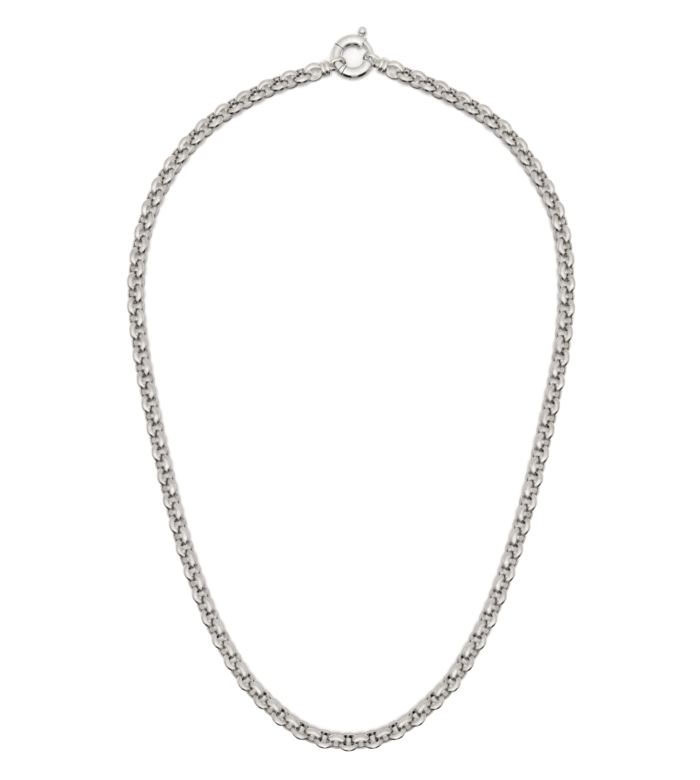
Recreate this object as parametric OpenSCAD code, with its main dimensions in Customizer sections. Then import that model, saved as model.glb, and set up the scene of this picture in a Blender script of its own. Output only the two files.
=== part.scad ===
// Rolo chain necklace with a bolt-ring clasp, lying flat in a closed loop.
// Millimetres. The table is z = 0, and +Y points from the front of the chain to the clasp.
// Every link is half-round wire: flat inside the link, domed outside.

/* [Loop] */
// Width of the loop as it lies, between the middles of its links
loop_w = 122.5; // [119:0.5:126]
// Length of the loop, from the middle of the front links to the middle of the clasp
loop_l = 194.2; // [190.2:0.5:199.2]

/* [Chain links] */
// Distance from one link's centre to the next, before the whole chain is shared out evenly
link_pitch = 3.5; // [3.5:0.05:3.6]
// Width of a link's band, measured along the link's own axis
link_band_w = 2.0; // [1.9:0.05:2.05]
// Thickness of the band, from its flat inside to the top of its dome
link_band_t = 0.95; // [0.85:0.05:0.95]
// Slack along the chain where one link passes through the next
link_play = 0.3; // [0.3:0.02:0.4]
// Angle at which the links lean to either side, from the table
link_lean = 48; // [46:1:48]
// Roll of the whole chain about its own length
chain_roll = 0; // [-2:1:2]

/* [Band section] */
// Height of the band's straight sides, below the dome
band_side_h = 0.1; // [0.1:0.02:0.14]
// Chamfer along both inner edges of the band
band_chamfer = 0.2; // [0.2:0.02:0.26]
// Chamfer of the same edges on the ring that holds a connector to the clasp
ring_chamfer = 0.35; // [0.34:0.01:0.4]

/* [Bolt ring] */
// Diameter of the ring's tube
tube_d = 3.05; // [2.9:0.05:3.2]
// Radius of the tube's centre line
ring_r = 4.7; // [4.6:0.02:4.9]
// Angle where the tube's mouth lies, counted from +X
mouth_at = 51; // [48:1:56]
// Angle where the tube ends across the opening, and its domed end begins
socket_at = -28; // [-31:1:-28]
// Length of the raised collar at the mouth, along the tube
mouth_collar_l = 1.0; // [0.6:0.05:1.0]
// How far the mouth collar stands proud of the tube
mouth_collar_h = 0.25; // [0.15:0.05:0.4]
// Angle where the solder seam crosses the tube
seam_at = 146; // [142:0.5:150]
// Angle of the middle of the narrow raised band
band_at = 232; // [229:1:236]
// Length of the narrow raised band, along the tube
raised_band_l = 0.95; // [0.5:0.05:1.0]
// How far the narrow raised band stands proud of the tube
raised_band_h = 0.08; // [0.05:0.01:0.15]
// Width of the fine grooves beside the band and at the seam
groove_w = 0.14; // [0.1:0.02:0.2]
// Depth of those grooves
groove_h = 0.08; // [0.05:0.01:0.12]

/* [Bolt] */
// Diameter of the curved bolt that closes the ring
bolt_d = 1.5; // [1.3:0.05:1.5]
// How far the bolt lies outside the tube's centre line
bolt_out = 0.45; // [0.2:0.05:0.45]
// Running clearance round the bolt, inside the tube
bolt_play = 0.08; // [0.05:0.01:0.08]
// Angle where the bolt's rounded tip begins, inside the socket
bolt_tip_at = -17; // [-19:1:-16]
// Angle of the knob, with the ring closed
knob_at = 69.6; // [69:0.2:72]
// How far the bolt slides back, as an angle about the ring's centre
bolt_travel = 60; // [40:1:62]
// Diameter of the ball on the knob
knob_d = 2.45; // [1.8:0.05:2.6]
// Diameter of the neck under the ball
knob_neck_d = 0.9; // [0.7:0.05:1.0]
// Distance from the tube to the middle of the ball
knob_reach = 1.55; // [1.4:0.05:1.8]
// Clear space round the neck, in its slot
slot_play = 0.1; // [0.06:0.01:0.15]

/* [End connectors] */
// Width of the band of the ring that holds a connector to the clasp
ring_band_w = 1.3; // [1.1:0.05:1.3]
// Thickness of that band
ring_band_t = 0.65; // [0.55:0.05:0.65]
// Slack between the tube and the ring that goes round it
ring_play = 0.7; // [0.7:0.01:0.75]
// Lean of that ring, from the table
clasp_ring_lean = 70; // [70:1:74]
// Distance between the centres of that ring and of the link soldered to the other end
connector_l = 7.0; // [6.9:0.02:7.1]
// Length of the ribbed collar between them
collar_l = 2.55; // [2.2:0.05:2.55]
// Outer diameter of the collar's ribs
collar_d = 4.2; // [3.6:0.05:4.4]
// Depth of the groove between the ribs
collar_groove_h = 0.35; // [0.2:0.05:0.45]
// Gap between the right connector's ring and the bolt that it hangs on
bolt_hang_gap = 1.09; // [1.05:0.01:1.12]
// Gap between the left connector's ring and the tube that it goes round
tube_hang_gap = 0.34; // [0.34:0.01:0.42]

/* [Hidden] */
$fn = 48;

// The small step at the rounded end of a bar or of the slot
end_step = 0.02;
// The bolt's tail behind its knob, and how far round the tube is bored for the spring
bolt_tail_l = 1.5;
spring_room_to = 210;
// Angles by which the bore is cut past the mouth, and past the bolt's tip in the socket
bore_past_mouth = 5;
bore_past_tip = 4;
full_turn = 360;

// The loop's width and length as its route is drawn below, and how far it is scaled from that
drawn_size = [122.5, 194.2];
loop_scale = [loop_w / drawn_size[0], loop_l / drawn_size[1]];
function on_loop(at) = [at[0] * loop_scale[0], at[1] * loop_scale[1]];

// Where the clasp lies, and how its connectors hang
clasp_at = on_loop([0.51, 94.31]);
right_hang_at = -10.5;
right_heading = -24.5;
left_hang_at = 205;
left_heading = 199.5;

// The chain's route at its middle height, clockwise from right of the clasp to left of it,
// and the shift that brings the middle of the whole necklace over the origin
to_middle = [0.25, -0.03];
route_stops = [
    [24.5, 85.1], [38, 77.5], [47, 69], [56, 55], [60, 42.5], [61, 27], [60, 13.5], [58, 2],
    [54.5, -14], [51.5, -26.5], [48, -39.5], [42.5, -56], [37, -69], [30, -81], [25, -87],
    [15.5, -95.3], [5, -99.9], [-6.5, -99.9], [-16.5, -95.8], [-27.5, -86], [-34, -77],
    [-40.5, -64.5], [-46.5, -48.5], [-50, -36.5], [-54, -20], [-57.5, -3.5], [-60, 10.5],
    [-61.5, 26.5], [-60, 41.5], [-55.5, 55.5], [-47.5, 68], [-37.5, 77.5], [-23.5, 85.5],
];
route_steps = 20;

// Radius of a band's dome, from its half width and its height above the straight sides
function dome_r(w, t) = (pow(w / 2, 2) + pow(t - band_side_h, 2)) / (2 * (t - band_side_h));
// Half the height of a leaning ring of such a band
function leaning_h(in_r, w, t, lean) = (in_r + t - dome_r(w, t)) * sin(lean) + dome_r(w, t);
// The angle that a length takes up along the ring's centre line
function along_ring(l) = l / ring_r * 180 / PI;
function polar(r, a) = [r * cos(a), r * sin(a)];

tube_r = tube_d / 2;
bolt_r = bolt_d / 2;
bore_r = bolt_r + bolt_play;
bolt_line_r = ring_r + bolt_out;
knob_ball_r = ring_r + tube_r + knob_reach;
link_in_r = sqrt(pow((link_pitch + link_play) / 2, 2) + pow(link_band_w / 2 - band_chamfer, 2));
ring_in_r = tube_r + ring_play;
bolt_end_at = knob_at + along_ring(bolt_tail_l);
socket_bore_from = bolt_tip_at - along_ring(bore_r) - bore_past_tip;

chain_z = leaning_h(link_in_r, link_band_w, link_band_t, link_lean + abs(chain_roll));
clasp_z = leaning_h(ring_in_r, ring_band_w, ring_band_t, clasp_ring_lean);

// The ring at the right hangs on the bolt, the ring at the left on the tube
right_ring_at = clasp_at + polar(bolt_line_r - bolt_r - bolt_hang_gap + ring_in_r, right_hang_at);
left_ring_at = clasp_at + polar(ring_r - tube_r - tube_hang_gap + ring_in_r, left_hang_at);
chain_start = right_ring_at + polar(connector_l, right_heading);
chain_end = left_ring_at + polar(connector_l, left_heading);

// The smooth route through the stops, and its length so far at each of its points
function curve(a, b, c, d, t) = 0.5 * (2 * b + (c - a) * t + (2 * a - 5 * b + 4 * c - d) * t * t
    + (3 * b - a - 3 * c + d) * t * t * t);
stops = concat([chain_start], [for (at = route_stops) on_loop(at) + to_middle], [chain_end]);
last_stop = len(stops) - 1;
function stop(i) = i < 0 ? 2 * stops[0] - stops[1]
    : i > last_stop ? 2 * stops[last_stop] - stops[last_stop - 1] : stops[i];
route = [for (i = [0 : last_stop - 1], j = [0 : route_steps - 1])
    curve(stop(i - 1), stop(i), stop(i + 1), stop(i + 2), j / route_steps), stops[last_stop]];
route_run = [for (i = 0, run = 0; i < len(route);
    run = run + (i + 1 < len(route) ? norm(route[i + 1] - route[i]) : 0), i = i + 1) run];
run_x = [for (i = [0 : len(route) - 1]) [route_run[i], route[i][0]]];
run_y = [for (i = [0 : len(route) - 1]) [route_run[i], route[i][1]]];
route_l = route_run[len(route) - 1];

// An even number of steps, so that the links at both connectors lean the same way
link_steps = 2 * round(route_l / link_pitch / 2);
link_step = route_l / link_steps;
middle_link = floor(link_steps / 2) - 1;
function link_at(k) = [lookup(k * link_step, run_x), lookup(k * link_step, run_y)];
function heading(v) = atan2(v[1], v[0]);

// Half-round band, drawn to the right of the axis that it goes round
module band_section(in_r, w, t, edge) {
    intersection() {
        translate([in_r + t - dome_r(w, t), 0]) circle(r = dome_r(w, t));
        polygon([
            [in_r, edge - w / 2], [in_r + edge, -w / 2], [in_r + t, -w / 2],
            [in_r + t, w / 2], [in_r + edge, w / 2], [in_r, w / 2 - edge],
        ]);
    }
}

module band_ring(in_r, w, t, edge) {
    rotate_extrude() band_section(in_r, w, t, edge);
}

// Odd links have their high side towards the neck, even ones away from it
module link(k) {
    lean = k % 2 == 1 ? -link_lean - chain_roll : link_lean - chain_roll;
    at = link_at(k);
    translate([at[0], at[1], chain_z])
        rotate([0, 0, heading(link_at(k + 1) - link_at(k - 1))]) leaning_link(lean);
}

module leaning_link(lean) {
    rotate([lean, 0, 0]) band_ring(link_in_r, link_band_w, link_band_t, band_chamfer);
}

module chain_right() {
    color("silver")
        for (k = [1 : middle_link]) link(k);
}

module chain_left() {
    color("silver")
        for (k = [middle_link + 1 : link_steps - 1]) link(k);
}

// A stretch of round bar bent to a radius about the ring's middle, between two angles
module ring_bar(line_r, r, from, to) {
    rotate([0, 0, from])
        rotate_extrude(angle = to - from)
            translate([line_r, 0]) circle(r = r);
}

// The ring's tube with its raised collars, before it is bored
module tube_body() {
    collar_by = along_ring(mouth_collar_l);
    band_by = along_ring(raised_band_l) / 2;
    ring_bar(ring_r, tube_r, mouth_at + collar_by / 2, full_turn + socket_at);
    ring_bar(ring_r, tube_r + mouth_collar_h, mouth_at, mouth_at + collar_by);
    ring_bar(ring_r, tube_r + raised_band_h, band_at - band_by, band_at + band_by);
    bar_end(ring_r, tube_r, socket_at);
}

// Domed end of such a bar, a hair slimmer than the bar itself
module bar_end(line_r, r, at) {
    rotate([0, 0, at])
        translate([line_r, 0, 0]) sphere(r = r - end_step);
}

module groove(at) {
    groove_by = along_ring(groove_w) / 2;
    rotate([0, 0, at - groove_by])
        rotate_extrude(angle = 2 * groove_by)
            translate([ring_r, 0])
                difference() {
                    circle(r = 1.5 * tube_r);
                    circle(r = tube_r - groove_h);
                }
}

// The slot in the tube's outer side, along which the knob's neck slides
module knob_slot() {
    slot_r = knob_neck_d / 2 + slot_play;
    slot_out = tube_r + 1;
    rotate([0, 0, knob_at])
        rotate_extrude(angle = bolt_travel)
            translate([bolt_line_r, -slot_r]) square([slot_out, 2 * slot_r]);
    for (a = [knob_at, knob_at + bolt_travel])
        rotate([0, 0, a])
            translate([bolt_line_r - slot_r / 2, 0, 0])
                rotate([0, 90, 0]) cylinder(r = slot_r - end_step, h = slot_out);
}

module bolt_ring() {
    groove_off = along_ring(raised_band_l / 2 + groove_w / 2);
    color("silver")
        translate([clasp_at[0], clasp_at[1], clasp_z])
            difference() {
                tube_body();
                ring_bar(bolt_line_r, bore_r, mouth_at - bore_past_mouth, spring_room_to);
                ring_bar(bolt_line_r, bore_r, socket_bore_from, 0);
                knob_slot();
                groove(seam_at);
                groove(band_at - groove_off);
                groove(band_at + groove_off);
            }
}

module bolt() {
    color("gainsboro")
        translate([clasp_at[0], clasp_at[1], clasp_z]) {
            ring_bar(bolt_line_r, bolt_r, bolt_tip_at, bolt_end_at);
            bar_end(bolt_line_r, bolt_r, bolt_tip_at);
            rotate([0, 0, knob_at]) {
                translate([bolt_line_r, 0, 0])
                    rotate([0, 90, 0]) cylinder(d = knob_neck_d, h = knob_ball_r - bolt_line_r);
                translate([knob_ball_r, 0, 0]) sphere(d = knob_d);
            }
        }
}

// Collar with two rounded ribs, along +X about its middle
module ribbed_collar() {
    rib_r = collar_l / 4;
    rotate([0, 90, 0]) {
        translate([0, 0, -collar_l / 2]) cylinder(d = collar_d - 2 * collar_groove_h, h = collar_l);
        for (side = [-1, 1])
            translate([0, 0, side * rib_r])
                rotate_extrude()
                    translate([collar_d / 2 - rib_r, 0]) circle(r = rib_r);
    }
}

// The ring for the clasp at the start, one of the chain's links further along +X, and the collar
// soldered between them; the high side of both is on the side that "up" gives
module connector(up) {
    rotate([up * clasp_ring_lean, 0, 0])
        band_ring(ring_in_r, ring_band_w, ring_band_t, ring_chamfer);
    translate([(ring_in_r + connector_l - link_in_r) / 2, 0, 0]) ribbed_collar();
    translate([connector_l, 0, 0]) leaning_link(up * link_lean);
}

module right_connector() {
    color("silver")
        translate([right_ring_at[0], right_ring_at[1], clasp_z])
            rotate([0, 0, right_heading]) connector(1);
}

module left_connector() {
    color("silver")
        translate([left_ring_at[0], left_ring_at[1], clasp_z])
            rotate([0, 0, left_heading]) connector(-1);
}

bolt_ring();
bolt();
left_connector();
right_connector();
chain_left();
chain_right();
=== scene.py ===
# Rolo chain necklace with a bolt-ring clasp, lying in a closed loop on a white table.
import math

import bmesh
import bpy
from mathutils import Matrix, Vector


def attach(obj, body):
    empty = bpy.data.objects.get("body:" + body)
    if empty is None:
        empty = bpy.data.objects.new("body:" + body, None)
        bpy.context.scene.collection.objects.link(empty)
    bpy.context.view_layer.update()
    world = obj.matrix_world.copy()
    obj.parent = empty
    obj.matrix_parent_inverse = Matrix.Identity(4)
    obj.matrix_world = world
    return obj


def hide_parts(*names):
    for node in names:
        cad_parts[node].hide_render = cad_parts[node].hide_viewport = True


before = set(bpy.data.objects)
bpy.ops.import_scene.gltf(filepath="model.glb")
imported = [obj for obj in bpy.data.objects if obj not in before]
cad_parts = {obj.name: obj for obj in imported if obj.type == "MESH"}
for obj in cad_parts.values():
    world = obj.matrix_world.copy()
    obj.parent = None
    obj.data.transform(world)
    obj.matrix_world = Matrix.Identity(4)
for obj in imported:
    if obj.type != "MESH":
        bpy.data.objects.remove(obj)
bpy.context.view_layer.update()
scene = bpy.context.scene
mm = 0.001


def hexToLinear(code):
    # an sRGB hex colour as linear red, green, blue and alpha
    values = [int(code[i:i + 2], 16) / 255 for i in (1, 3, 5)]
    return [v / 12.92 if v <= 0.04045 else ((v + 0.055) / 1.055) ** 2.4 for v in values] + [1.0]


def addNode(tree, kind, inputs, **settings):
    # one node with its settings, each of its inputs a plain value or another node's output
    node = tree.nodes.new(kind)
    for key, value in settings.items():
        setattr(node, key, value)
    for key, value in inputs.items():
        if isinstance(value, bpy.types.NodeSocket):
            tree.links.new(value, node.inputs[key])
        else:
            node.inputs[key].default_value = value
    return node


# the clasp and how its connectors hang on it, in millimetres and degrees
clasp = {
    "at": (0.51, 94.31), "ringRadius": 4.7, "tubeRadius": 1.525, "boltRadius": 0.75, "boltLine": 5.15,
    "seamAt": 146, "bandAt": 232,
    "grooveOff": 6.6,    # degrees from the raised band's middle to the fine groove at either end
    "rightHang": -10.5, "rightHeading": -24.5, "leftHang": 205, "leftHeading": 199.5,
    "boltHangGap": 1.09, "tubeHangGap": 0.34,
}
silverLook = {
    "chain": {"tone": "#dedbd8", "shade": "#cfcbc6", "roughness": 0.09},
    "clasp": {"tone": "#e4e3e1", "shade": "#dbd9d7", "roughness": 0.05},
    "connector": {"tone": "#e4e2de", "shade": "#d8d4cc", "roughness": 0.08},
    # thin spots in the plating
    "cloudSize": 2.5 * mm, "cloudDetail": 3.0, "cloudGrain": 0.55,
    # the stretch of the clouds over which shade turns to tone, and dull to bright
    "toneStretch": (0.35, 0.6), "glossStretch": (0.3, 0.7),
    # shares of the roughness at the two ends of that stretch
    "dull": 1.35, "bright": 0.75,
    # drawn wire is never quite even
    "waveSize": 1.6 * mm, "waveDetail": 1.0, "waveHeight": 0.004 * mm,
    # hairlines from the polishing wheel, drawn coarser than real
    "lineSize": 0.12 * mm, "lineDetail": 2.0, "lineHeight": 0.0015 * mm,
}
# painted shade in the solder seam and in the two fine grooves, over so many degrees to a side
seamShadePaint = {"reach": 1.0, "tone": "#3d3a37", "roughness": 0.5}


def seamShadeLines(tree, place):
    # one where shade is painted along a fine line across the clasp's tube, nought elsewhere
    axes = addNode(tree, "ShaderNodeSeparateXYZ", {"Vector": place}).outputs
    across = addNode(tree, "ShaderNodeMath", {0: axes["X"], 1: clasp["at"][0] * mm},
                     operation="SUBTRACT")
    along = addNode(tree, "ShaderNodeMath", {0: axes["Y"], 1: clasp["at"][1] * mm},
                    operation="SUBTRACT")
    turn = addNode(tree, "ShaderNodeMath", {0: along.outputs["Value"], 1: across.outputs["Value"]},
                   operation="ARCTAN2")
    total = 0.0
    for degrees in (clasp["seamAt"], clasp["bandAt"] - clasp["grooveOff"],
                    clasp["bandAt"] + clasp["grooveOff"]):
        line = addNode(tree, "ShaderNodeMath",
                       {0: turn.outputs["Value"], 1: math.radians(math.remainder(degrees, 360)),
                        2: math.radians(seamShadePaint["reach"])}, operation="COMPARE")
        both = addNode(tree, "ShaderNodeMath", {0: total, 1: line.outputs["Value"]}, operation="ADD")
        total = both.outputs["Value"]
    return total


def polishedSilver(name, look, seamed=False):
    # sterling silver, drawn or cast, wheel-polished and flashed with rhodium: a white mirror
    # with faint clouds where the plating thins, hairlines from the wheel, and, when seamed, painted
    # shade in the seam and grooves
    material = bpy.data.materials.new(name)
    material.use_nodes = True
    tree = material.node_tree
    tree.nodes.clear()
    place = addNode(tree, "ShaderNodeTexCoord", {}).outputs["Object"]
    clouds = addNode(tree, "ShaderNodeTexNoise",
                     {"Vector": place, "Scale": 1 / silverLook["cloudSize"],
                      "Detail": silverLook["cloudDetail"], "Roughness": silverLook["cloudGrain"]})
    spread = addNode(tree, "ShaderNodeMapRange",
                     {"Value": clouds.outputs["Fac"], "From Min": silverLook["toneStretch"][0],
                      "From Max": silverLook["toneStretch"][1]})
    # the Mix node's colours go in at 6 and 7 and come out at 2
    colour = addNode(tree, "ShaderNodeMix",
                     {0: spread.outputs["Result"], 6: hexToLinear(look["shade"]),
                      7: hexToLinear(look["tone"])}, data_type="RGBA")
    gloss = addNode(tree, "ShaderNodeMapRange",
                    {"Value": clouds.outputs["Fac"], "From Min": silverLook["glossStretch"][0],
                     "From Max": silverLook["glossStretch"][1],
                     "To Min": look["roughness"] * silverLook["dull"],
                     "To Max": look["roughness"] * silverLook["bright"]})
    tone, rough = colour.outputs[2], gloss.outputs["Result"]
    if seamed:
        # painted shade: the seam and groove lines are made dark and dull
        dark = seamShadeLines(tree, place)
        darker = addNode(tree, "ShaderNodeMix",
                         {0: dark, 6: tone, 7: hexToLinear(seamShadePaint["tone"])}, data_type="RGBA")
        duller = addNode(tree, "ShaderNodeMix", {0: dark, 2: rough, 3: seamShadePaint["roughness"]},
                         data_type="FLOAT")
        tone, rough = darker.outputs[2], duller.outputs[0]
    waves = addNode(tree, "ShaderNodeTexNoise",
                    {"Vector": place, "Scale": 1 / silverLook["waveSize"],
                     "Detail": silverLook["waveDetail"]})
    lines = addNode(tree, "ShaderNodeTexNoise",
                    {"Vector": place, "Scale": 1 / silverLook["lineSize"],
                     "Detail": silverLook["lineDetail"]})
    uneven = addNode(tree, "ShaderNodeBump",
                     {"Strength": 1.0, "Distance": silverLook["waveHeight"],
                      "Height": waves.outputs["Fac"]})
    wheeled = addNode(tree, "ShaderNodeBump",
                      {"Strength": 1.0, "Distance": silverLook["lineHeight"],
                       "Height": lines.outputs["Fac"], "Normal": uneven.outputs["Normal"]})
    shader = addNode(tree, "ShaderNodeBsdfPrincipled",
                     {"Metallic": 1.0, "Base Color": tone, "Roughness": rough,
                      "Normal": wheeled.outputs["Normal"]})
    addNode(tree, "ShaderNodeOutputMaterial", {"Surface": shader.outputs["BSDF"]})
    return material


chainSilver = polishedSilver("polishedSilverChain", silverLook["chain"])
ringSilver = polishedSilver("polishedSilverRing", silverLook["clasp"], seamed=True)
boltSilver = polishedSilver("polishedSilverBolt", silverLook["clasp"])
connectorSilver = polishedSilver("castSilverConnector", silverLook["connector"])
print("silver mixed")


def dress(node, material):
    # a CAD node keeps its mesh and takes the finished material
    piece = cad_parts[node]
    piece.data.materials.clear()
    piece.data.materials.append(material)


connector = {"innerRadius": 2.225, "length": 7.0}
chain = {
    "pitch": 3.5, "play": 0.3, "bandWidth": 2.0, "bandThickness": 0.95,
    "side": 0.1,         # height of the band's straight sides
    "chamfer": 0.2, "lean": 48,
    "softEdge": 0.09,    # how far from each edge the tumbling has rounded it
    "around": 30,        # steps round a link
    "domeSteps": 6,      # steps over its dome
    "crease": 50,        # degrees past which an edge stays sharp in the light
}
# the loop's route at the middle height of its links, with the same stops as part.scad's
routeShift = (0.25, -0.03)
routeSteps = 20    # from each stop to the next
routeStops = [
    (24.5, 85.1), (38, 77.5), (47, 69), (56, 55), (60, 42.5), (61, 27), (60, 13.5), (58, 2),
    (54.5, -14), (51.5, -26.5), (48, -39.5), (42.5, -56), (37, -69), (30, -81), (25, -87),
    (15.5, -95.3), (5, -99.9), (-6.5, -99.9), (-16.5, -95.8), (-27.5, -86), (-34, -77),
    (-40.5, -64.5), (-46.5, -48.5), (-50, -36.5), (-54, -20), (-57.5, -3.5), (-60, 10.5),
    (-61.5, 26.5), (-60, 41.5), (-55.5, 55.5), (-47.5, 68), (-37.5, 77.5), (-23.5, 85.5),
]


def polar(radius, degrees):
    angle = math.radians(degrees)
    return Vector((radius * math.cos(angle), radius * math.sin(angle)))


def routeEnds():
    # the middles of the two connectors' chain rings
    middle = Vector(clasp["at"])
    onBolt = clasp["boltLine"] - clasp["boltRadius"] - clasp["boltHangGap"] + connector["innerRadius"]
    onTube = clasp["ringRadius"] - clasp["tubeRadius"] - clasp["tubeHangGap"] + connector["innerRadius"]
    rightRing = middle + polar(onBolt, clasp["rightHang"])
    leftRing = middle + polar(onTube, clasp["leftHang"])
    return (rightRing + polar(connector["length"], clasp["rightHeading"]),
            leftRing + polar(connector["length"], clasp["leftHeading"]))


def smoothPoint(a, b, c, d, t):
    # a share t of the way from b to c, on the smooth curve through all four
    return 0.5 * (2 * b + (c - a) * t + (2 * a - 5 * b + 4 * c - d) * t * t
                  + (3 * b - a - 3 * c + d) * t ** 3)


def routeOfLinks():
    # even steps along a smooth curve through the stops, from one connector to the other
    start, end = routeEnds()
    stops = [start] + [Vector(p) + Vector(routeShift) for p in routeStops] + [end]
    stops = [2 * stops[0] - stops[1]] + stops + [2 * stops[-1] - stops[-2]]
    curve = []
    for a, b, c, d in zip(stops, stops[1:], stops[2:], stops[3:]):
        curve += [smoothPoint(a, b, c, d, j / routeSteps) for j in range(routeSteps)]
    curve.append(end)
    runs = [0.0]
    for a, b in zip(curve, curve[1:]):
        runs.append(runs[-1] + (b - a).length)
    # an even number of steps, so that the links at both connectors lean the same way
    count = 2 * round(runs[-1] / chain["pitch"] / 2)
    places, at = [], 0
    for k in range(count + 1):
        run = runs[-1] * k / count
        while at < len(runs) - 2 and runs[at + 1] < run:
            at += 1
        share = (run - runs[at]) / (runs[at + 1] - runs[at])
        places.append(curve[at].lerp(curve[at + 1], min(max(share, 0), 1)))
    return places


def linkTemplate():
    # half-round wire bent to a ring: flat inside, domed outside, every edge tumbled soft
    half, deep, cut = chain["bandWidth"] / 2, chain["bandThickness"], chain["chamfer"]
    inner = math.sqrt(((chain["pitch"] + chain["play"]) / 2) ** 2 + (half - cut) ** 2)
    rise = deep - chain["side"]
    dome = (half ** 2 + rise ** 2) / (2 * rise)
    centre = inner + deep - dome
    sweep = math.asin(half / dome)
    corners = [(inner, half - cut), (inner, cut - half), (inner + cut, -half)]
    for j in range(chain["domeSteps"] + 1):
        a = sweep * (2 * j / chain["domeSteps"] - 1)
        corners.append((centre + dome * math.cos(a), dome * math.sin(a)))
    corners.append((inner + cut, half))
    bm = bmesh.new()
    verts = [bm.verts.new((r * mm, 0, z * mm)) for r, z in corners]
    bm.faces.new(verts)
    edges = [v for v, (r, z) in zip(verts, corners) if r <= inner + cut]
    bmesh.ops.bevel(bm, geom=edges, offset=chain["softEdge"] * mm, offset_type="OFFSET",
                    affect="VERTICES", segments=1, profile=0.5, material=-1)
    bmesh.ops.delete(bm, geom=list(bm.faces), context="FACES_ONLY")
    bmesh.ops.spin(bm, geom=bm.verts[:] + bm.edges[:], cent=(0, 0, 0), axis=(0, 0, 1),
                   angle=2 * math.pi, steps=chain["around"], use_merge=True)
    bmesh.ops.recalc_face_normals(bm, faces=bm.faces)
    mesh = bpy.data.meshes.new("linkTemplate")
    bm.to_mesh(mesh)
    bm.free()
    return mesh, centre, dome


def newPiece(bm, name, material):
    mesh = bpy.data.meshes.new(name)
    bm.to_mesh(mesh)
    bm.free()
    mesh.materials.append(material)
    piece = bpy.data.objects.new(name, mesh)
    scene.collection.objects.link(piece)
    return piece


def chainHalf(name, node, links, places, template, height):
    # a run of links in one piece, each leaning the other way from its neighbours
    bm = bmesh.new()
    for k in links:
        ahead = places[k + 1] - places[k - 1]
        lean = -chain["lean"] if k % 2 else chain["lean"]
        place = (Matrix.Translation((places[k].x * mm, places[k].y * mm, height * mm))
                 @ Matrix.Rotation(math.atan2(ahead.y, ahead.x), 4, "Z")
                 @ Matrix.Rotation(math.radians(lean), 4, "X"))
        before = len(bm.verts)
        bm.from_mesh(template)
        bm.verts.ensure_lookup_table()
        bmesh.ops.transform(bm, matrix=place, verts=bm.verts[before:])
    piece = newPiece(bm, name, chainSilver)
    mesh = piece.data
    mesh.polygons.foreach_set("use_smooth", [True] * len(mesh.polygons))
    mesh.set_sharp_from_angle(angle=math.radians(chain["crease"]))
    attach(piece, "root")
    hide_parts(node)


def buildChain():
    places = routeOfLinks()
    template, centre, dome = linkTemplate()
    # a leaning link's dome touches the table
    height = centre * math.sin(math.radians(chain["lean"])) + dome
    count = len(places) - 1
    half = count // 2
    chainHalf("chainRightLinks", "chain_right", range(1, half), places, template, height)
    chainHalf("chainLeftLinks", "chain_left", range(half, count), places, template, height)
    print("chain:", count - 1, "links, step", round((places[1] - places[0]).length, 3), "mm")


buildChain()
dress("bolt_ring", ringSilver)
dress("bolt", boltSilver)
dress("left_connector", connectorSilver)
dress("right_connector", connectorSilver)
print("clasp and connectors dressed")


studio = {
    "floorSize": 12.0, "floorTone": "#cdcccb", "floorRoughness": 0.7, "floorSpecular": 0.2,
    # brightness of what stands round the table, by degrees above it
    "roundAbout": [(-90, 0.7), (-60, 1.0), (-16, 1.1), (0, 0.85), (11, 0.87), (40, 0.95), (90, 1.2)],
    "inFront": [(-90, 0.5), (-37, 0.4), (-9, 0.55), (2, 0.7), (20, 1.08), (45, 1.3), (90, 1.2)],
    # how much of the front there is, by degrees round from it
    "frontReach": [(0, 1.0), (50, 1.0), (85, 0.0)],
    # two dark flags, to either side of a middle that lies a little to the right
    "flagMiddle": 6, "flagReach": [(0, 0.0), (9, 0.0), (13, 1.0), (36, 1.0), (41, 0.0)],
    "flagTone": 0.02, "flagRise": [(-75, 0.0), (-60, 1.0), (6, 1.0), (14, 0.0)],
    "brightest": 2.0,    # a ramp holds no more than one, so it holds shares of this
    "backdrop": 1.0,     # what the camera sees past the table
    "sunStrength": 2.7, "sunElevation": 87, "sunSpread": 24,
    "cameraAt": (-0.32 * mm, -0.46 * mm, 528 * mm), "fieldOfView": 23.8,
    "clip": (0.01, 20),  # metres
    "gamma": 0.75,       # the photo's contrast is pushed
}


def layTable():
    # a wide matt board under the necklace, left out of its reflections
    material = bpy.data.materials.new("whiteTable")
    material.use_nodes = True
    shader = material.node_tree.nodes["Principled BSDF"]
    shader.inputs["Base Color"].default_value = hexToLinear(studio["floorTone"])
    shader.inputs["Roughness"].default_value = studio["floorRoughness"]
    shader.inputs["Specular IOR Level"].default_value = studio["floorSpecular"]
    reach = studio["floorSize"] / 2
    bm = bmesh.new()
    corners = [(-reach, -reach, 0), (reach, -reach, 0), (reach, reach, 0), (-reach, reach, 0)]
    bm.faces.new([bm.verts.new(corner) for corner in corners])
    piece = newPiece(bm, "tableTop", material)
    piece.visible_glossy = False


def lightByAngle(tree, angle, stops, low, high):
    # a brightness for each angle from low to high, out of pairs of degrees and brightness
    share = addNode(tree, "ShaderNodeMapRange",
                    {"Value": angle, "From Min": math.radians(low), "From Max": math.radians(high)})
    ramp = addNode(tree, "ShaderNodeValToRGB", {"Fac": share.outputs["Result"]})
    elements = ramp.color_ramp.elements
    while len(elements) < len(stops):
        elements.new(0.5)    # each gets its place below
    for element, (degrees, value) in zip(elements, stops):
        element.position = (degrees - low) / (high - low)
        element.color = [value / studio["brightest"]] * 3 + [1]
    full = addNode(tree, "ShaderNodeMath", {0: ramp.outputs["Color"], 1: studio["brightest"]},
                   operation="MULTIPLY")
    return full.outputs["Value"]


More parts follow.
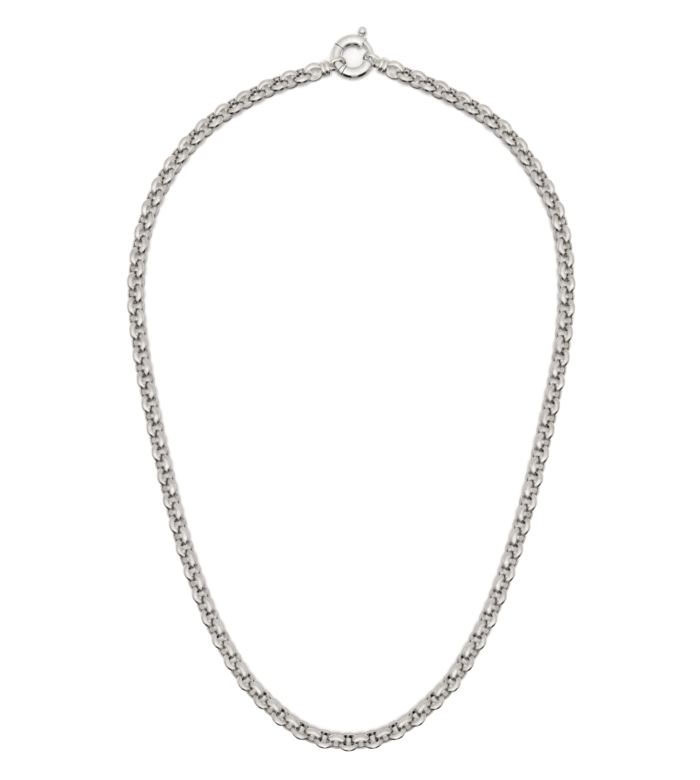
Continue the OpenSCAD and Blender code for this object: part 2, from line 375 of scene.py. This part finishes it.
def lightTent():
    # a white tent, dimmer at table height, open towards the front, where two dark flags stand
    world = bpy.data.worlds.new("lightTent")
    scene.world = world
    world.use_nodes = True
    tree = world.node_tree
    tree.nodes.clear()
    way = addNode(tree, "ShaderNodeTexCoord", {}).outputs["Generated"]
    axes = addNode(tree, "ShaderNodeSeparateXYZ", {"Vector": way}).outputs
    above = addNode(tree, "ShaderNodeMath", {0: axes["Z"]}, operation="ARCSINE")
    forward = addNode(tree, "ShaderNodeMath", {0: axes["Y"], 1: -1.0}, operation="MULTIPLY")
    turn = addNode(tree, "ShaderNodeMath", {0: axes["X"], 1: forward.outputs["Value"]},
                   operation="ARCTAN2")
    fromFront = addNode(tree, "ShaderNodeMath", {0: turn.outputs["Value"]}, operation="ABSOLUTE")
    beside = addNode(tree, "ShaderNodeMath",
                     {0: turn.outputs["Value"], 1: math.radians(studio["flagMiddle"])},
                     operation="SUBTRACT")
    fromFlags = addNode(tree, "ShaderNodeMath", {0: beside.outputs["Value"]}, operation="ABSOLUTE")
    height, aside, apart = (node.outputs["Value"] for node in (above, fromFront, fromFlags))
    # the Mix node's numbers go in at 2 and 3 and come out at 0
    sides = addNode(tree, "ShaderNodeMix",
                    {0: lightByAngle(tree, aside, studio["frontReach"], 0, 180),
                     2: lightByAngle(tree, height, studio["roundAbout"], -90, 90),
                     3: lightByAngle(tree, height, studio["inFront"], -90, 90)},
                    data_type="FLOAT")
    flag = addNode(tree, "ShaderNodeMath",
                   {0: lightByAngle(tree, apart, studio["flagReach"], 0, 180),
                    1: lightByAngle(tree, height, studio["flagRise"], -90, 90)},
                   operation="MULTIPLY")
    tent = addNode(tree, "ShaderNodeMix",
                   {0: flag.outputs["Value"], 2: sides.outputs[0], 3: studio["flagTone"]},
                   data_type="FLOAT")
    rays = addNode(tree, "ShaderNodeLightPath", {})
    seen = addNode(tree, "ShaderNodeMix",
                   {0: rays.outputs["Is Camera Ray"], 2: tent.outputs[0], 3: studio["backdrop"]},
                   data_type="FLOAT")
    sky = addNode(tree, "ShaderNodeBackground", {"Color": (1, 1, 1, 1), "Strength": seen.outputs[0]})
    addNode(tree, "ShaderNodeOutputWorld", {"Surface": sky.outputs["Background"]})


def hangKey():
    # a wide soft light almost overhead, left out of the reflections
    sun = bpy.data.lights.new("softKey", "SUN")
    sun.energy = studio["sunStrength"]
    sun.angle = math.radians(studio["sunSpread"])
    lamp = bpy.data.objects.new("softKey", sun)
    scene.collection.objects.link(lamp)
    lamp.visible_glossy = False
    lamp.rotation_euler = (math.radians(studio["sunElevation"] - 90), 0, 0)


def setCamera():
    camera = bpy.data.cameras.new("overhead")
    camera.angle = math.radians(studio["fieldOfView"])
    camera.clip_start, camera.clip_end = studio["clip"]
    eye = bpy.data.objects.new("overhead", camera)
    eye.location = studio["cameraAt"]
    scene.collection.objects.link(eye)
    scene.camera = eye
    scene.view_settings.view_transform = "Standard"
    scene.view_settings.look = "None"
    scene.view_settings.exposure = 0.0
    scene.view_settings.gamma = studio["gamma"]


layTable()
lightTent()
hangKey()
setCamera()
print("studio ready")
